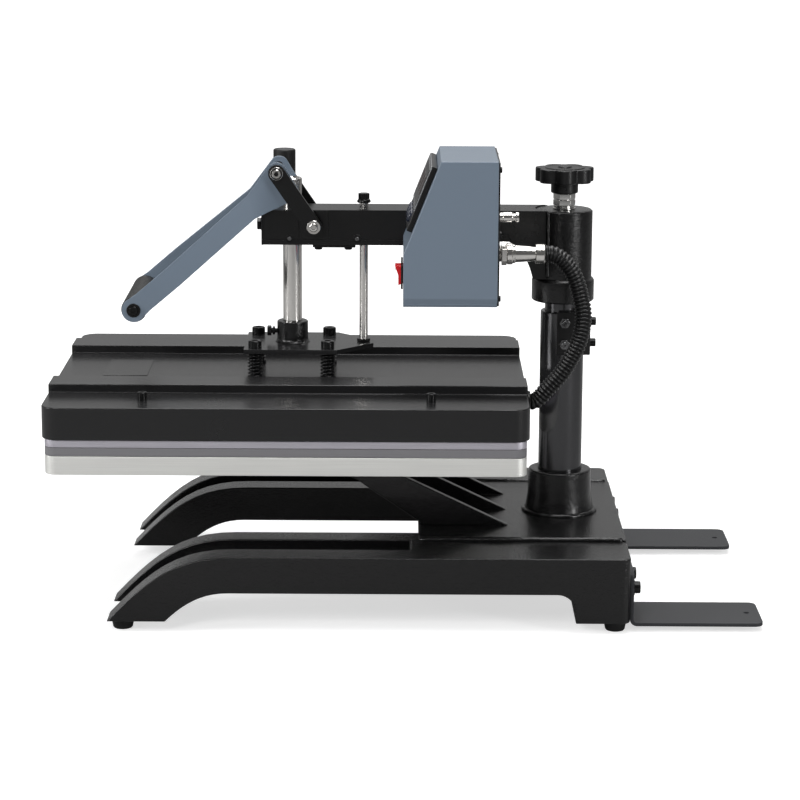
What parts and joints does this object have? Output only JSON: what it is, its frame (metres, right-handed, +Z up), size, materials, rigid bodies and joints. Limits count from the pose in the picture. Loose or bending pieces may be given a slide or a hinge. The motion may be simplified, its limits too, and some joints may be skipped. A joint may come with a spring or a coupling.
{
  "type": "heat press",
  "caption": "Swing-away flatbed heat press: heated upper platen on a lever-locked lift shaft, cantilever lower platen, round column, twin legs and a side-mounted controller.",
  "frame": {"origin": "centre of the bounding box on the floor that the feet stand on, at rest, closed and locked", "axes": "+Z up, -Y towards the operator and the handle, +Y towards the column and the rear plates, +X to the operator's right, where the controller is"},
  "size_m": [0.412, 0.7664, 0.4985],
  "materials": {
    "cast_black": "thick glossy black paint over cast and welded steel, faint orange peel",
    "satin_black": "satin black powder coat",
    "slate_blue": "smooth slate blue powder coat, satin",
    "chrome": "bright plated or ground steel",
    "brushed_aluminium": "milled and brushed along its length",
    "grey_aluminium": "bead blasted, slightly lilac grey",
    "silicone": "matt dark grey silicone sponge",
    "rubber": "matt black rubber",
    "black_plastic": "moulded black plastic",
    "red_plastic": "gloss red, translucent looking",
    "navy_plastic": "moulded dark navy plastic"
  },
  "bodies": {
    "base": {"right_leg": "cast_black", "left_leg": "cast_black", "base_deck": "cast_black", "column_socket": "cast_black", "right_fin": "cast_black", "left_fin": "cast_black", "middle_fin": "cast_black", "column_tube": "satin_black", "column_clamp": "satin_black", "lower_platen": "brushed_aluminium", "silicone_pad": "silicone", "right_stabilizer": "satin_black", "left_stabilizer": "satin_black", "right_front_foot": "rubber", "left_front_foot": "rubber", "right_rear_foot": "rubber", "left_rear_foot": "rubber"},
    "swing_arm": {"arm_beam": "satin_black", "arm_hub": "cast_black", "swivel_post": "satin_black", "shaft_guide": "chrome", "under_plate": "satin_black", "jam_nut": "chrome", "control_case": "slate_blue", "display_panel": "black_plastic", "switch_frame": "black_plastic", "power_inlet": "black_plastic", "sensor_socket": "chrome", "conduit_fitting": "chrome", "swing_grip": "rubber", "toggle_pin": "chrome", "conduit": "black_plastic"},
    "upper_platen": {"platen_cover": "satin_black", "heat_plate": "grey_aluminium", "front_right_hanger_bolt": "satin_black", "front_left_hanger_bolt": "satin_black", "rear_right_hanger_bolt": "satin_black", "rear_left_hanger_bolt": "satin_black", "front_right_spring": "satin_black", "front_left_spring": "satin_black", "rear_right_spring": "satin_black", "rear_left_spring": "satin_black", "conduit_gland": "black_plastic"},
    "carriage": {"lift_shaft": "chrome", "shaft_collar": "cast_black", "hanger_plate": "satin_black", "guide_rod": "chrome", "rod_stop": "black_plastic", "wrist_pin": "chrome"},
    "toggle_link": {"right_link": "satin_black", "left_link": "satin_black"},
    "handle": {"right_handle_plate": "slate_blue", "left_handle_plate": "slate_blue", "handle_grip": "rubber", "handle_tie_bar": "satin_black"},
    "pressure_knob": {"pressure_knob": "black_plastic"},
    "power_rocker": {"power_rocker": "red_plastic"},
    "down_button": {"down_button": "navy_plastic"},
    "set_button": {"set_button": "navy_plastic"},
    "up_button": {"up_button": "navy_plastic"}
  },
  "joints": [
    {"name": "arm_swing", "type": "hinge", "parent": "base", "child": "swing_arm", "pos_m": [0, 0.17385, 0.327], "axis": [0, 0, 1], "range_deg": [-110, 110]},
    {"name": "platen_lift", "type": "slide", "parent": "swing_arm", "child": "upper_platen", "axis": [0, 0, 1], "range_m": [0, 0.0315], "deforming": ["conduit"]},
    {"name": "platen_float", "type": "slide", "parent": "upper_platen", "child": "carriage", "axis": [0, 0, -1], "range_m": [0, 0.003], "stiffness_N_per_m": 20000, "springref_m": -0.003, "deforming": ["front_right_spring", "front_left_spring", "rear_right_spring", "rear_left_spring"]},
    {"name": "link_pivot", "type": "hinge", "parent": "swing_arm", "child": "toggle_link", "pos_m": [0, -0.10145, 0.41], "axis": [-1, 0, 0], "range_deg": [0, 36.6]},
    {"name": "handle_pivot", "type": "hinge", "parent": "toggle_link", "child": "handle", "pos_m": [0, -0.14175, 0.4687], "axis": [-1, 0, 0], "range_deg": [0, 80.3]},
    {"name": "pressure_turn", "type": "hinge", "parent": "swing_arm", "child": "pressure_knob", "pos_m": [0, 0.17385, 0.453], "axis": [0, 0, 1], "range_deg": [-720, 720]},
    {"name": "power_switch", "type": "hinge", "parent": "swing_arm", "child": "power_rocker", "pos_m": [0.0935, -0.00355, 0.3695], "axis": [-1, 0, 0], "range_deg": [0, 20]},
    {"name": "down_press", "type": "slide", "parent": "swing_arm", "child": "down_button", "axis": [0, 0.9298, -0.3681], "range_m": [0, 0.001], "stiffness_N_per_m": 800, "springref_m": -0.0005},
    {"name": "set_press", "type": "slide", "parent": "swing_arm", "child": "set_button", "axis": [0, 0.9298, -0.3681], "range_m": [0, 0.001], "stiffness_N_per_m": 800, "springref_m": -0.0005},
    {"name": "up_press", "type": "slide", "parent": "swing_arm", "child": "up_button", "axis": [0, 0.9298, -0.3681], "range_m": [0, 0.001], "stiffness_N_per_m": 800, "springref_m": -0.0005}
  ],
  "couplings": [
    {"joint": "link_pivot", "follows": "platen_lift", "rad_per_m": 20.266},
    {"joint": "handle_pivot", "follows": "platen_lift", "rad_per_m": 44.452}
  ]
}
